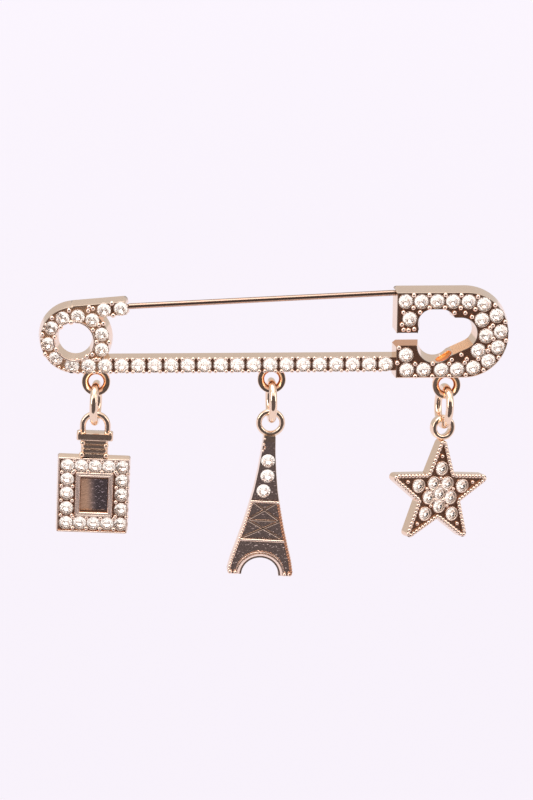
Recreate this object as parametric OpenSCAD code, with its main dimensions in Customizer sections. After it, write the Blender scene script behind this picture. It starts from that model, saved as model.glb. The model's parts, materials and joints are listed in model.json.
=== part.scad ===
// Kilt pin: a jewelled safety-pin frame with a hinged needle and three charms on jump rings.
// Millimetres. X runs along the pin, Z is up, the jewelled face looks along -Y.
// The origin is on the needle's axis, in the middle of its free length.

/* [Needle] */
// Free length of the needle between the hinge arm and the head
needle_span = 38.6; // [38:0.05:39.5]
// Radius of the needle
needle_r = 0.42; // [0.36:0.02:0.44]
// Upward slope of the needle towards the head, in degrees
needle_slope = 2.68; // [2.4:0.02:2.8]
// Length of the tapered point inside the head
point_length = 3.2; // [2.6:0.1:3.3]

/* [Frame] */
// Depth of the bar, the coil and the arm, front to back
bar_depth = 2.5; // [2.4:0.1:2.8]
// Height of the bar
bar_height = 2.45; // [2.4:0.05:2.6]
// Height of the bar's middle line
bar_z = -9.45; // [-9.6:0.05:-9.4]
// Depth of the head, front to back
head_depth = 3.2; // [3:0.1:3.6]
// Width of the head
head_w = 17.1; // [17:0.1:17.6]
// Height of the head
head_h = 13.6; // [13.5:0.1:14]
// Radius of the head's two round corners
head_corner_r = 6.7; // [6.5:0.1:6.7]
// Outer radius of the coil-shaped end
coil_r = 5.4; // [5.35:0.05:5.5]
// Radius of the hole in the coil-shaped end
coil_hole_r = 2.45; // [2.3:0.05:2.5]
// Height of the arm that the needle is hinged in
arm_h = 2.65; // [2.6:0.05:2.8]

/* [Stones] */
// Radius of the stones in the frame
stone_r = 1.0; // [0.9:0.02:1.02]
// Radius of the stones in the bottle
bottle_stone_r = 0.97; // [0.88:0.01:0.98]
// Radius of the stones in the tower
tower_stone_r = 1.05; // [1:0.05:1.05]
// Radius of the stones in the star
star_stone_r = 0.87; // [0.8:0.01:0.9]
// Depth of the sunken floor that the stones are set in
floor_depth = 0.25; // [0.2:0.01:0.3]
// Radius of the grains that hold the stones
grain_r = 0.3; // [0.24:0.01:0.34]

/* [Rings and loops] */
// Wire radius of the three loops under the frame
loop_wire_r = 0.5; // [0.46:0.005:0.51]
// Radius of those loops, to the middle of the wire
loop_r = 1.58; // [1.54:0.005:1.6]
// Wire radius of the jump rings
ring_wire_r = 0.58; // [0.54:0.005:0.59]
// Radius of the jump rings, to the middle of the wire
ring_r = 2.83; // [2.8:0.005:2.9]

/* [Charms] */
// Width of the bottle's body
bottle_w = 10.9; // [10.9:0.1:11.2]
// Height of the bottle's body
bottle_h = 12.13; // [12.1:0.01:12.4]
// Thickness of the bottle
bottle_t = 1.6; // [1.5:0.1:2]
// Thickness of the tower
tower_t = 1.5; // [1.4:0.1:1.8]
// Radius from the star's middle to its tips, before they are blunted
star_r = 8.75; // [8.65:0.05:8.85]
// Radius from the star's middle to its notches
star_notch_r = 3.75; // [3.7:0.05:3.8]
// Thickness of the star
star_t = 1.8; // [1.6:0.1:2]

/* [Hidden] */
$fn = 64;

gold = [0.82, 0.64, 0.53];
steel = [0.72, 0.58, 0.50];
crystal = [0.92, 0.93, 0.97];

gap = 0.04;              // between pieces that hang on or sit in each other
over = 0.05;             // how far a cut runs past the surface it starts from

// Depths: the needle's axis is at y = 0
bar_front = -1.75;
head_front = -1.9;
bar_floor = bar_front + floor_depth;
head_floor = head_front + floor_depth;
loop_y = bar_front + bar_depth / 2;

// Places along the frame
half_span = needle_span / 2 * cos(needle_slope);
end_room = 0.06;         // between the ends of the round shaft and the frame
head_pos = [half_span + end_room + head_w / 2, -5.1];
coil_pos = [-27.25, -5.55];
coil_hole_pos = [-27.3, -5.7];
bar_x0 = coil_pos[0];
rim = 0.3;               // width of the plain rim round the stones
inner_rim = 0.14;        // width of the rim round the pierced openings

// Hinge
hinge_s = -21.6;         // along the needle, from the origin
hinge_pos = [hinge_s * cos(needle_slope), hinge_s * sin(needle_slope)];
eye_r = 0.75;
eye_t = 0.8;
rivet_r = 0.34;
eye_hole_r = rivet_r + gap;
tang = 1.38 * needle_r;  // side of the square stem between the eye and the round shaft
slot_clear = 0.12;
arm_slope = 4.6;
arm_mid = [-20.6, -0.86];
arm_left = 7;            // from there to where the arm's top runs into the coil
arm_dir = [cos(arm_slope), sin(arm_slope)];
arm_normal = [-arm_dir[1], arm_dir[0]];
arm_right = ([-half_span, -needle_span / 2 * sin(needle_slope)] - arm_mid) * arm_dir - end_room;

// Stones of the frame
bar_count = 20;
bar_first = -27.72;
bar_pitch = 2.417;
coil_pitch_r = 3.78;
coil_angles = [148, 114, 80, 186, 223];
coil_right_r = 4.18;     // the stones on its right side lie further out
coil_right_angles = [49, 14, -18];
arm_stones_at = [-2.24, 0.22];

// The head's outer row of stones from the upper left corner round to the lower left: [x, z]
head_row = [
    [-6.95, 5.15], [-4.65, 5.1], [-2.35, 5.15], [-0.05, 5.1], [2.25, 5.05], [4.5, 4.65],
    [6.4, 2.95], [7.1, 0.5], [6.75, -1.85], [5.4, -3.9], [3.2, -4.95], [0.82, -5.2],
    [-1.5, -5.25], [-4.1, -5.2], [-6.6, -5.25]];
// Its inner stones: [x, z]
head_inner = [[-6.3, 2.5], [4.25, 2.3], [4.95, -0.1], [3.85, -2.35], [-6.75, -2.95]];

// Cut-out of the head, about the head's middle
cut_top = [-2.35, 1.85];
cut_top_r = 2.1;
cut_top_half = 0.65;
cut_low = [-2.45, -1.45];
cut_low_r = 2.7;
cut_lobe = [1.2, 0.25];
cut_lobe_r = 2.42;
cut_tuck = 0.06;         // the straight side starts this far inside the round ones
slot_top = 0.29;
slot_low = -1.45;

// Charms: x and z of the loop, yaw and lean of the ring, then yaw, lean and pitch of the charm
bottle_at = [-24.34, -12.13, -3.4, 2.7, 2.4, 3.5, 0];
tower_at = [1.5, -11.92, 4.7, 1, 1, 4, 0];
star_at = [27.34, -12.98, 10.5, 5, 19.1, 7.1, -7.9];
ring_top = -loop_r + loop_wire_r + gap + ring_wire_r;

// Bottle, down from the hanging point
bottle_loop_r = 1.83;
bottle_wire_r = 0.45;
bottle_plate = [5.4, 1.06, 2.1];
bottle_plate_top = -1.75;
bottle_neck = [4.05, 1.5];
bottle_top = -5.46;
bottle_mid = bottle_top - bottle_h / 2;
bottle_cols = 5;
bottle_pitch = 2.05;
bottle_cols_x = 0.2;
bottle_rows = [-6.91, -9.06, -11.26, -13.61, -15.96];
pane_mid = [0.17, -11.41];
pane_frame = [5.75, 7.1];
pane = [3.9, 5.2];

// Tower, down from the hanging point
tower_loop_r = 1.72;
tower_wire_r = 0.44;
// Outline of the tower: [z, half width]
tower_sides = [[-2.4, 0.95], [-5.2, 1.12], [-8.0, 1.42], [-11.0, 1.85], [-14.0, 2.45],
               [-17.0, 3.15], [-20.0, 3.98], [-22.3, 4.65], [-24.0, 5.0], [-24.85, 5.05]];
tower_places = [[0, -6.5], [0.08, -8.9], [-0.34, -11.28]];
arch_r = 2.85;
arch_z = -24.75;
arch_rim = 0.55;
brace_w = 0.32;
brace_t = 0.22;

// Star, down from the hanging point
star_loop_r = [1.1, 1.87];
star_loop_t = 1.4;
star_mid = -10.26;
star_rim = 0.62;
star_row_r = [1.88, 3.79];
star_tip_grain = 5.65;
// Its deep loop rests on the ring with its front and back edges
star_loop_top = gap + ring_r - sqrt(pow(ring_r - ring_wire_r, 2) - pow(star_loop_t / 2, 2));

// Draws a flat outline of X and Z as a plate from y = front, depth deep
module plate(front, depth) {
    translate([0, front + depth, 0]) rotate([90, 0, 0]) linear_extrude(depth) children();
}

// Places a child whose +Z becomes the outward direction at [x, z] on the face y
module on_face(p, y) {
    translate([p[0], y, p[1]]) rotate([90, 0, 0]) children();
}

// Turns a child from the needle's own direction to the frame's
module along_needle() {
    rotate([0, -needle_slope, 0]) children();
}

// Point that a charm hangs from: the middle of its ring's wire, seen from the ring's top
function hang_point(at) = let (c = 1 + cos(at[6]), along = -c * sin(at[3]), to_back = sin(at[6]))
    [at[0], loop_y, at[1] + ring_top] + ring_r * [along * cos(at[2]) - to_back * sin(at[2]),
        along * sin(at[2]) + to_back * cos(at[2]), -c * cos(at[3])];

module hang(at) {
    translate(hang_point(at)) rotate([at[6], at[5], at[4]]) children();
}

// Point of the arm's face, t along it and q across it
function arm_at(t, q = 0) = arm_mid + t * arm_dir + q * arm_normal;

function polar(r, a) = [r * cos(a), r * sin(a)];

// Cut stone with its girdle at z = 0 and its table up: 8 stars, 8 bezels, 16 upper and
// 16 lower halves and 8 mains
module cut_stone(r) {
    table_r = 0.58 * r;
    crown = 0.34 * r;
    pavilion = 0.70 * r;
    crown_r = 0.82 * r;
    pavilion_r = 0.48 * r;
    crown_z = crown * (r - crown_r * cos(22.5)) / (r - table_r);
    pavilion_z = pavilion * (pavilion_r * cos(22.5) / r - 1);
    function at(i, q, z, half) = [q * cos(45 * i + half), q * sin(45 * i + half), z];
    points = concat(
        [for (i = [0:7]) at(i, table_r, crown, 0)],
        [for (i = [0:7]) at(i, crown_r, crown_z, 22.5)],
        [for (i = [0:15]) at(i / 2, r, 0, 0)],
        [for (i = [0:7]) at(i, pavilion_r, pavilion_z, 22.5)],
        [[0, 0, -pavilion]]);
    function t(i) = i % 8;
    function k(i) = 8 + i % 8;
    function g(i) = 16 + i % 16;
    function p(i) = 32 + i % 8;
    culet = 40;
    faces = concat(
        [[for (i = [7:-1:0]) t(i)]],
        [for (i = [0:7]) [t(i), t(i + 1), k(i)]],
        [for (i = [0:7]) [t(i), k(i), g(2 * i)]],
        [for (i = [0:7]) [t(i + 1), g(2 * i + 2), k(i)]],
        [for (i = [0:7]) [k(i), g(2 * i + 1), g(2 * i)]],
        [for (i = [0:7]) [k(i), g(2 * i + 2), g(2 * i + 1)]],
        [for (i = [0:7]) [p(i), g(2 * i), g(2 * i + 1)]],
        [for (i = [0:7]) [p(i), g(2 * i + 1), g(2 * i + 2)]],
        [for (i = [0:7]) [culet, g(2 * i), p(i)]],
        [for (i = [0:7]) [culet, p(i), g(2 * i + 2)]]);
    polyhedron(points, faces);
}

// Conical seat for a stone of radius r, going in from the floor, with room for the stone above
module seat(r) {
    depth = 0.85 * r;
    tip = 0.2;
    mouth = r + over;
    slope = (mouth - tip) / depth;
    translate([0, 0, -depth]) cylinder(h = depth + over, r1 = tip, r2 = mouth + slope * over);
    cylinder(h = floor_depth + over, r = mouth);
}

module stones_on(list, y, r) {
    for (p = list) on_face(p, y - gap) cut_stone(r);
}

module seats_on(list, y, r) {
    for (p = list) on_face(p, y) seat(r);
}

// Two grains between each stone and the next, on either side of the row
function grains_between(row, off) = [for (i = [0:len(row) - 2], s = [-1, 1])
    let (d = row[i + 1] - row[i], n = [-d[1], d[0]] / norm(d))
    (row[i] + row[i + 1]) / 2 + s * off * n];

module grains_on(list, y, r) {
    for (p = list) translate([p[0], y + r / 4, p[1]]) sphere(r, $fn = 32);
}

// Stone places on the frame, in the frame's own X and Z
coil_places = concat(
    [for (a = coil_angles) coil_hole_pos + polar(coil_pitch_r, a)],
    [for (a = coil_right_angles) coil_hole_pos + polar(coil_right_r, a)],
    [for (t = arm_stones_at) arm_at(t)]);
bar_places = [for (i = [0:bar_count - 1]) [bar_first + i * bar_pitch, bar_z]];
head_places = [for (p = concat(head_row, head_inner)) head_pos + p];

// Grains of the frame
bar_grains = grains_between(bar_places, 0.92);
coil_grains = concat(
    [for (a = [131, 97, 167, 204.5], q = [-0.9, 0.9]) coil_hole_pos + polar(coil_pitch_r + q, a)],
    [for (a = [64.5, 31.5, -2], q = [-0.85, 0.85]) coil_hole_pos + polar(coil_right_r + q, a)],
    [for (q = [-0.9, 0.9]) arm_at((arm_stones_at[0] + arm_stones_at[1]) / 2, q)]);
grain_room = stone_r + grain_r + gap;
head_grains = [for (p = grains_between(head_row, 0.92))
    if (min([for (q = concat(head_row, head_inner)) norm(p - q)]) > grain_room) head_pos + p];

// Outline of the coil-shaped end, drawn in by d
module coil_shape(d) {
    translate(coil_pos) circle(coil_r - d);
}

module arm_shape(d) {
    translate(arm_mid) rotate(arm_slope) translate([-arm_left, -arm_h / 2 + d])
        square([arm_left + arm_right - d, arm_h - 2 * d]);
}

module bar_shape(d) {
    x1 = head_pos[0] - head_w / 2;
    translate([bar_x0, bar_z - bar_height / 2 + d]) square([x1 - bar_x0 + 1 - d, bar_height - 2 * d]);
}

// Outline of the head, drawn in by d
module head_shape(d) {
    w = head_w / 2 - d;
    h = head_h / 2 - d;
    r = head_corner_r - d;
    translate(head_pos) {
        translate([-w, -h]) square([2 * w - r, 2 * h]);
        for (z = [-1, 1]) translate([w - r, z * (h - r)]) circle(r);
        translate([w - r, -(h - r)]) square([r, 2 * (h - r)]);
    }
}

// Pierced opening of the head, drawn out by d, with its slot to the left
module head_opening(d) {
    low_dir = cut_lobe - cut_low;
    n = [low_dir[1], -low_dir[0]] / norm(low_dir);
    left = cut_top[0] - cut_top_half - cut_top_r - d;
    translate(head_pos) {
        for (s = [-1, 1]) translate(cut_top + [s * cut_top_half, 0]) circle(cut_top_r + d);
        translate(cut_top - [cut_top_half, 0]) square([2 * cut_top_half, cut_top_r + d]);
        translate([left, cut_low[1]])
            square([2 * (cut_top_half + cut_top_r + d), cut_top[1] - cut_low[1]]);
        translate(cut_low) circle(cut_low_r + d);
        translate(cut_lobe) circle(cut_lobe_r + d);
        polygon([cut_low, cut_low + (cut_low_r + d - cut_tuck) * n,
            cut_lobe + (cut_lobe_r + d - cut_tuck) * n, cut_lobe]);
        translate([cut_top[0], cut_low[1]])
            square([cut_lobe[0] - cut_top[0], cut_lobe[1] + cut_lobe_r + d - cut_low[1]]);
        translate([-head_w / 2 - 1, slot_low - d])
            square([left + head_w / 2 + 1.5, slot_top - slot_low + 2 * d]);
    }
}

module frame_loop(at) {
    translate([at[0], loop_y, at[1]]) rotate([90, 0, 0])
        rotate_extrude() translate([loop_r, 0]) circle(loop_wire_r, $fn = 32);
}

// Room for the needle's eye in the arm, open to the right and to the back
module hinge_slot() {
    slot_h = eye_t + 0.32;
    reach = 3.5;
    translate([hinge_pos[0], 0, hinge_pos[1] + 0.06 - slot_h / 2]) {
        cylinder(h = slot_h, r = eye_r + slot_clear);
        translate([0, -needle_r - 0.1, 0]) cube([reach, 3, slot_h]);
        translate([-0.5, 0, 0]) cube([reach, 3, slot_h]);
    }
}

// Groove that takes the point of the needle, open to the back of the head
module catch_groove() {
    half = needle_r + 0.06;
    along_needle() translate([needle_span / 2 - 0.4, -needle_r - 0.12, -half])
        cube([point_length + 0.7, 4, 2 * half]);
}

module frame() {
    color(gold) {
        difference() {
            union() {
                plate(bar_front, bar_depth) difference() {
                    union() {
                        coil_shape(0);
                        arm_shape(0);
                        bar_shape(0);
                    }
                    translate(coil_hole_pos) circle(coil_hole_r);
                }
                plate(head_front, head_depth) difference() {
                    head_shape(0);
                    head_opening(0);
                }
            }
            plate(bar_front - over, floor_depth + over) difference() {
                union() {
                    coil_shape(rim);
                    arm_shape(rim);
                    bar_shape(rim / 2);
                }
                translate(coil_hole_pos) circle(coil_hole_r + inner_rim);
                translate([head_pos[0] - head_w / 2, bar_z - bar_height])
                    square([2, 2 * bar_height]);
            }
            plate(head_front - over, floor_depth + over) difference() {
                head_shape(rim);
                head_opening(inner_rim);
            }
            seats_on(concat(coil_places, bar_places), bar_floor, stone_r);
            seats_on(head_places, head_floor, stone_r);
            hinge_slot();
            translate([hinge_pos[0], 0, hinge_pos[1] - arm_h]) cylinder(h = 2 * arm_h, r = rivet_r + 0.02);
            catch_groove();
        }
        grains_on(concat(bar_grains, coil_grains), bar_floor, grain_r);
        grains_on(head_grains, head_floor, grain_r);
        for (at = [bottle_at, tower_at, star_at]) frame_loop(at);
    }
}

module hinge_rivet() {
    color(steel) translate([hinge_pos[0], 0, hinge_pos[1] - arm_h / 2 + 0.1])
        cylinder(h = arm_h - 0.2, r = rivet_r);
}

module needle() {
    color(steel) {
        difference() {
            translate([hinge_pos[0], 0, hinge_pos[1] - eye_t / 2]) cylinder(h = eye_t, r = eye_r);
            translate([hinge_pos[0], 0, hinge_pos[1] - eye_t]) cylinder(h = 2 * eye_t, r = eye_hole_r);
        }
        along_needle() {
            translate([hinge_s + eye_hole_r + 0.15, -tang / 2, -tang / 2])
                cube([-needle_span / 2 - hinge_s - eye_hole_r, tang, tang]);
            translate([-needle_span / 2, 0, 0]) rotate([0, 90, 0]) cylinder(h = needle_span, r = needle_r);
            translate([needle_span / 2, 0, 0]) rotate([0, 90, 0])
                cylinder(h = point_length, r1 = needle_r, r2 = 0.08);
        }
    }
}

module coil_stones() {
    color(crystal) stones_on(coil_places, bar_floor, stone_r);
}

module bar_stones() {
    color(crystal) stones_on(bar_places, bar_floor, stone_r);
}

module head_stones() {
    color(crystal) stones_on(head_places, head_floor, stone_r);
}

module jump_ring(at) {
    translate([at[0], loop_y, at[1] + ring_top]) rotate([0, at[3], at[2]])
        translate([0, 0, -ring_r]) rotate([0, 90, 0])
            rotate_extrude() translate([ring_r, 0]) circle(ring_wire_r, $fn = 32);
}

module bottle_ring() {
    color(gold) jump_ring(bottle_at);
}

// Stone places on the bottle, round the edge of its body
bottle_places = [for (c = [0:bottle_cols - 1], r = [0:len(bottle_rows) - 1])
    if (c == 0 || c == bottle_cols - 1 || r == 0 || r == len(bottle_rows) - 1)
        [bottle_cols_x + (c - (bottle_cols - 1) / 2) * bottle_pitch, bottle_rows[r]]];

module centred(size, p) {
    translate(p - size / 2) square(size);
}

module bottle() {
    front = -bottle_t / 2;
    arc_z = ring_wire_r + gap + bottle_wire_r - bottle_loop_r;
    ribs = 4;
    rib_proud = 0.15;
    neck_top = bottle_plate_top - bottle_plate[1];
    rib_pitch = (neck_top - bottle_top) / ribs;
    color(gold) hang(bottle_at) {
        difference() {
            plate(front, bottle_t) centred([bottle_w, bottle_h], [0, bottle_mid]);
            plate(front - over, floor_depth + over) difference() {
                centred([bottle_w - 0.28, bottle_h - 0.5], [0, bottle_mid]);
                centred(pane_frame, pane_mid);
            }
            plate(front - over, 0.35 + over) centred(pane, pane_mid);
            seats_on(bottle_places, front + floor_depth, bottle_stone_r);
        }
        plate(-bottle_neck[1] / 2 + rib_proud, bottle_neck[1] - 2 * rib_proud)
            centred([bottle_neck[0] - 2 * rib_proud, neck_top - bottle_top + 0.2],
                [0, (neck_top + bottle_top) / 2]);
        for (i = [0:ribs - 1]) plate(-bottle_neck[1] / 2, bottle_neck[1])
            centred([bottle_neck[0], 0.6 * rib_pitch], [0, bottle_top + (i + 0.5) * rib_pitch]);
        plate(-bottle_plate[2] / 2, bottle_plate[2])
            centred([bottle_plate[0], bottle_plate[1]], [0, bottle_plate_top - bottle_plate[1] / 2]);
        intersection() {
            translate([0, 0, arc_z]) rotate([90, 0, 0])
                rotate_extrude() translate([bottle_loop_r, 0]) circle(bottle_wire_r, $fn = 32);
            translate([-bottle_plate[0] / 2, -1, arc_z]) cube([bottle_plate[0], 2, 3]);
        }
        for (s = [-1, 1]) translate([s * bottle_loop_r, 0, bottle_plate_top - 0.2])
            cylinder(h = arc_z - bottle_plate_top + 0.2, r = bottle_wire_r, $fn = 32);
    }
}

module bottle_stones() {
    color(crystal) hang(bottle_at)
        stones_on(bottle_places, -bottle_t / 2 + floor_depth, bottle_stone_r);
}

module tower_ring() {
    color(gold) jump_ring(tower_at);
}

module tower_shape() {
    n = len(tower_sides);
    polygon(concat([for (s = tower_sides) [s[1], s[0]]],
        [for (i = [n - 1:-1:0]) [-tower_sides[i][1], tower_sides[i][0]]]));
}

// Part of the tower's front between two heights, drawn in by d at the sides
module tower_band(z1, z0, d) {
    w1 = lookup(z1, tower_sides) - d;
    w0 = lookup(z0, tower_sides) - d;
    polygon([[w1, z1], [-w1, z1], [-w0, z0], [w0, z0]]);
}

// One raised cross brace of the lattice, with its middle at z and reaching half the given size
module cross_brace(z, w, h) {
    a = atan2(h, w);
    for (s = [-1, 1]) translate([0, 0, z]) rotate([0, s * a, 0])
        translate([-norm([w, h]) / 2, 0, -brace_w / 2]) cube([norm([w, h]), brace_t, brace_w]);
}

module tower() {
    front = -tower_t / 2;
    panel_top = -13.1;
    panel_low = -18.9;
    belt_low = -19.4;
    panel_mid = (panel_top + panel_low) / 2;
    color(gold) hang(tower_at) {
        difference() {
            plate(front, tower_t) difference() {
                tower_shape();
                translate([0, arch_z]) circle(arch_r);
            }
            plate(front - over, floor_depth + over) tower_band(-5.3, -12.7, 0.22);
            plate(front - over, floor_depth + over) tower_band(panel_top, panel_low, 0.42);
            plate(front - over, floor_depth + over) difference() {
                tower_band(belt_low, -24.5, 0.42);
                translate([0, arch_z]) circle(arch_r + arch_rim);
            }
            seats_on(tower_places, front + floor_depth, tower_stone_r);
        }
        for (i = [0, 1]) translate([0, front + floor_depth - brace_t + 0.04, 0])
            cross_brace(panel_mid + (0.5 - i) * (panel_top - panel_low) / 2,
                3.6 + 1.3 * i, (panel_top - panel_low) / 2 - 0.2);
        translate([0, 0, ring_wire_r + gap + tower_wire_r - tower_loop_r]) rotate([90, 0, 0])
            rotate_extrude() translate([tower_loop_r, 0]) circle(tower_wire_r, $fn = 32);
    }
}

module tower_stones() {
    color(crystal) hang(tower_at)
        stones_on(tower_places, -tower_t / 2 + floor_depth, tower_stone_r);
}

module star_ring() {
    color(gold) jump_ring(star_at);
}

star_places = concat([[0, 0]],
    [for (i = [0:4]) polar(star_row_r[0], 54 + 72 * i)],
    [for (i = [0:4]) polar(star_row_r[1], 90 + 72 * i)]);

// Five-pointed star, drawn in by d, with slightly blunt tips
module star_shape(d) {
    edge = norm(polar(star_r, 0) - polar(star_notch_r, 36));
    in_tip = d * edge / (star_notch_r * sin(36));
    in_notch = d * edge / (star_r * sin(36));
    blunt = 0.07;
    r = star_r - in_tip;
    q = star_notch_r - in_notch;
    polygon([for (i = [0:4], p = [-1, 1, 2])
        p == 2 ? polar(q, 126 + 72 * i)
            : (1 - blunt) * polar(r, 90 + 72 * i) + blunt * polar(q, 90 + p * 36 + 72 * i)]);
}

module star() {
    front = -star_t / 2;
    color(gold) hang(star_at) {
        translate([0, 0, star_mid]) {
            difference() {
                plate(front, star_t) star_shape(0);
                plate(front - over, floor_depth + over) star_shape(star_rim);
                seats_on(star_places, front + floor_depth, star_stone_r);
            }
            grains_on([for (i = [0:4]) polar(star_tip_grain, 90 + 72 * i)], front + floor_depth, 0.26);
        }
        translate([0, 0, star_loop_top - star_loop_r[0]]) plate(-star_loop_t / 2, star_loop_t)
            difference() {
                circle(star_loop_r[1]);
                circle(star_loop_r[0]);
            }
    }
}

module star_stones() {
    color(crystal) hang(star_at) translate([0, 0, star_mid])
        stones_on(star_places, -star_t / 2 + floor_depth, star_stone_r);
}

frame();
hinge_rivet();
needle();
coil_stones();
bar_stones();
head_stones();
bottle_ring();
bottle();
bottle_stones();
tower_ring();
tower();
tower_stones();
star_ring();
star();
star_stones();
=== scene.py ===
import json
import math

import bmesh
import bpy
from mathutils import Matrix, Vector


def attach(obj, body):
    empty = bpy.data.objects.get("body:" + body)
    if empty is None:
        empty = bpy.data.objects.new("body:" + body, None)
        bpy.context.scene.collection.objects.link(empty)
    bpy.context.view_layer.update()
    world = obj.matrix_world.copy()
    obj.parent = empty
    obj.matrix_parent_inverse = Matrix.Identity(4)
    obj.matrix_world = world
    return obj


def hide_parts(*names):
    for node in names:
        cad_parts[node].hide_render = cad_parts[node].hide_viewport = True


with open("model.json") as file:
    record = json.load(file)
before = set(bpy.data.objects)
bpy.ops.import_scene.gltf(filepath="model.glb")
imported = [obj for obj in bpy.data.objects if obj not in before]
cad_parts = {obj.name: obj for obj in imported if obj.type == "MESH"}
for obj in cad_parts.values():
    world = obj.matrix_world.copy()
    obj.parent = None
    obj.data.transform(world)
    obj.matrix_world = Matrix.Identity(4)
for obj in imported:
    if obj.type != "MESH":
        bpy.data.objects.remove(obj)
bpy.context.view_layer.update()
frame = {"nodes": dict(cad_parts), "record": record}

# All sizes are millimetres in the frame's own axes: X along the pin, Z up, the jewelled face
# looking along -Y. They become metres when a mesh is made.
mm = 0.001
nodes = frame["nodes"]
jointPlace = {joint["name"]: Vector(joint["pos_m"]) / mm
              for joint in frame["record"]["behaviour"]["joints"]}


def linear(code):
    # Linear light of a hex sRGB colour
    parts = [int(code[i:i + 2], 16) / 255 for i in (1, 3, 5)]
    return tuple(c / 12.92 if c <= 0.04045 else ((c + 0.055) / 1.055) ** 2.4
                 for c in parts) + (1.0,)


def addNode(tree, kind, settings=None, links=None, values=None):
    node = tree.nodes.new(kind)
    for name, value in (settings or {}).items():
        setattr(node, name, value)
    for socket, value in (values or {}).items():
        node.inputs[socket].default_value = value
    for socket, source in (links or {}).items():
        tree.links.new(source, node.inputs[socket])
    return node


def newMaterial(name):
    material = bpy.data.materials.new(name)
    material.use_nodes = True
    tree = material.node_tree
    tree.nodes.clear()
    return material, tree, addNode(tree, "ShaderNodeTexCoord").outputs


# Materials

def platedMetal(name, look):
    material, tree, place = newMaterial(name)
    size, height, strength = look["ripple"]
    ripple = addNode(tree, "ShaderNodeTexNoise", links={"Vector": place["Object"]},
                     values={"Scale": 1 / (size * mm), "Detail": 1.5})
    relief = addNode(tree, "ShaderNodeBump", links={"Height": ripple.outputs["Fac"]},
                     values={"Strength": strength, "Distance": height * mm})
    wear = addNode(tree, "ShaderNodeTexNoise", links={"Vector": place["Object"]},
                   values={"Scale": 1 / (look["wear"] * mm), "Detail": 3.0})
    # Most of the noise lies between 0.3 and 0.7
    low, high = look["roughness"]
    rough = addNode(tree, "ShaderNodeMapRange", links={"Value": wear.outputs["Fac"]},
                    values={"From Min": 0.3, "From Max": 0.7, "To Min": low, "To Max": high})
    surface = addNode(tree, "ShaderNodeBsdfPrincipled",
                      links={"Roughness": rough.outputs["Result"],
                             "Normal": relief.outputs["Normal"]},
                      values={"Base Color": linear(look["colour"]), "Metallic": 1.0})
    addNode(tree, "ShaderNodeOutputMaterial", links={"Surface": surface.outputs["BSDF"]})
    return material


def paintedSheenPane(name, look, middle):
    # Painted sheen: a mirror whose colour, metal and roughness turn from a soft tan on the left to
    # a clear slate on the right
    material, tree, place = newMaterial(name)
    across = addNode(tree, "ShaderNodeSeparateXYZ", links={"Vector": place["Object"]})
    share = addNode(tree, "ShaderNodeMapRange", {"interpolation_type": "SMOOTHSTEP"},
                    links={"Value": across.outputs["X"]},
                    values={"From Min": (middle + look["left"]) * mm,
                            "From Max": (middle + look["right"]) * mm}).outputs["Result"]
    tone = addNode(tree, "ShaderNodeMix", {"data_type": "RGBA"}, links={"Factor": share},
                   values={6: linear(look["leftColour"]), 7: linear(look["rightColour"])})
    rough = addNode(tree, "ShaderNodeMapRange", links={"Value": share},
                    values={"To Min": look["leftRoughness"], "To Max": look["rightRoughness"]})
    metal = addNode(tree, "ShaderNodeMapRange", links={"Value": share},
                    values={"To Min": look["leftMetal"], "To Max": 1.0})
    ripple = addNode(tree, "ShaderNodeTexNoise", links={"Vector": place["Object"]},
                     values={"Scale": 1 / (look["ripple"] * mm), "Detail": 2.0})
    relief = addNode(tree, "ShaderNodeBump", links={"Height": ripple.outputs["Fac"]},
                     values={"Strength": 1.0, "Distance": look["rippleHeight"] * mm})
    surface = addNode(tree, "ShaderNodeBsdfPrincipled", links={
        "Base Color": tone.outputs[2], "Roughness": rough.outputs["Result"],
        "Metallic": metal.outputs["Result"], "Normal": relief.outputs["Normal"]})
    addNode(tree, "ShaderNodeOutputMaterial", links={"Surface": surface.outputs["BSDF"]})
    return material


def foiledCrystal(name, look):
    material, tree, place = newMaterial(name)
    side = addNode(tree, "ShaderNodeSeparateXYZ", links={"Vector": place["Normal"]})
    # The normal turns round where a ray meets a facet from inside, so it is turned back
    within = addNode(tree, "ShaderNodeNewGeometry").outputs["Backfacing"]
    turned = addNode(tree, "ShaderNodeMapRange", links={"Value": within},
                     values={"To Min": 1.0, "To Max": -1.0})
    outward = addNode(tree, "ShaderNodeMath", {"operation": "MULTIPLY"},
                      links={0: side.outputs["Y"], 1: turned.outputs["Result"]})
    isBack = addNode(tree, "ShaderNodeMath", {"operation": "GREATER_THAN"},
                     links={0: outward.outputs[0]}, values={1: look["backFrom"]})
    haze = addNode(tree, "ShaderNodeTexNoise", links={"Vector": place["Object"]},
                   values={"Scale": 1 / (look["haze"] * mm)})
    rough = addNode(tree, "ShaderNodeMapRange", links={"Value": haze.outputs["Fac"]},
                    values={"To Min": look["clearRoughness"], "To Max": look["foilRoughness"]})
    crown = addNode(tree, "ShaderNodeBsdfGlass",
                    values={"Color": linear(look["tint"]), "IOR": look["ior"], "Roughness": 0.0})
    foil = addNode(tree, "ShaderNodeBsdfAnisotropic", links={"Roughness": rough.outputs["Result"]},
                   values={"Color": linear(look["foil"])})
    milk = addNode(tree, "ShaderNodeBsdfDiffuse", values={"Color": linear(look["milk"])})
    backing = addNode(tree, "ShaderNodeMixShader", values={0: look["milkShare"]},
                      links={1: foil.outputs["BSDF"], 2: milk.outputs["BSDF"]})
    mix = addNode(tree, "ShaderNodeMixShader", links={
        0: isBack.outputs[0], 1: crown.outputs["BSDF"], 2: backing.outputs["Shader"]})
    addNode(tree, "ShaderNodeOutputMaterial", links={"Surface": mix.outputs["Shader"]})
    return material


# In every plate, ripple is a size, a height and a strength, and roughness runs from low to high

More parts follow.
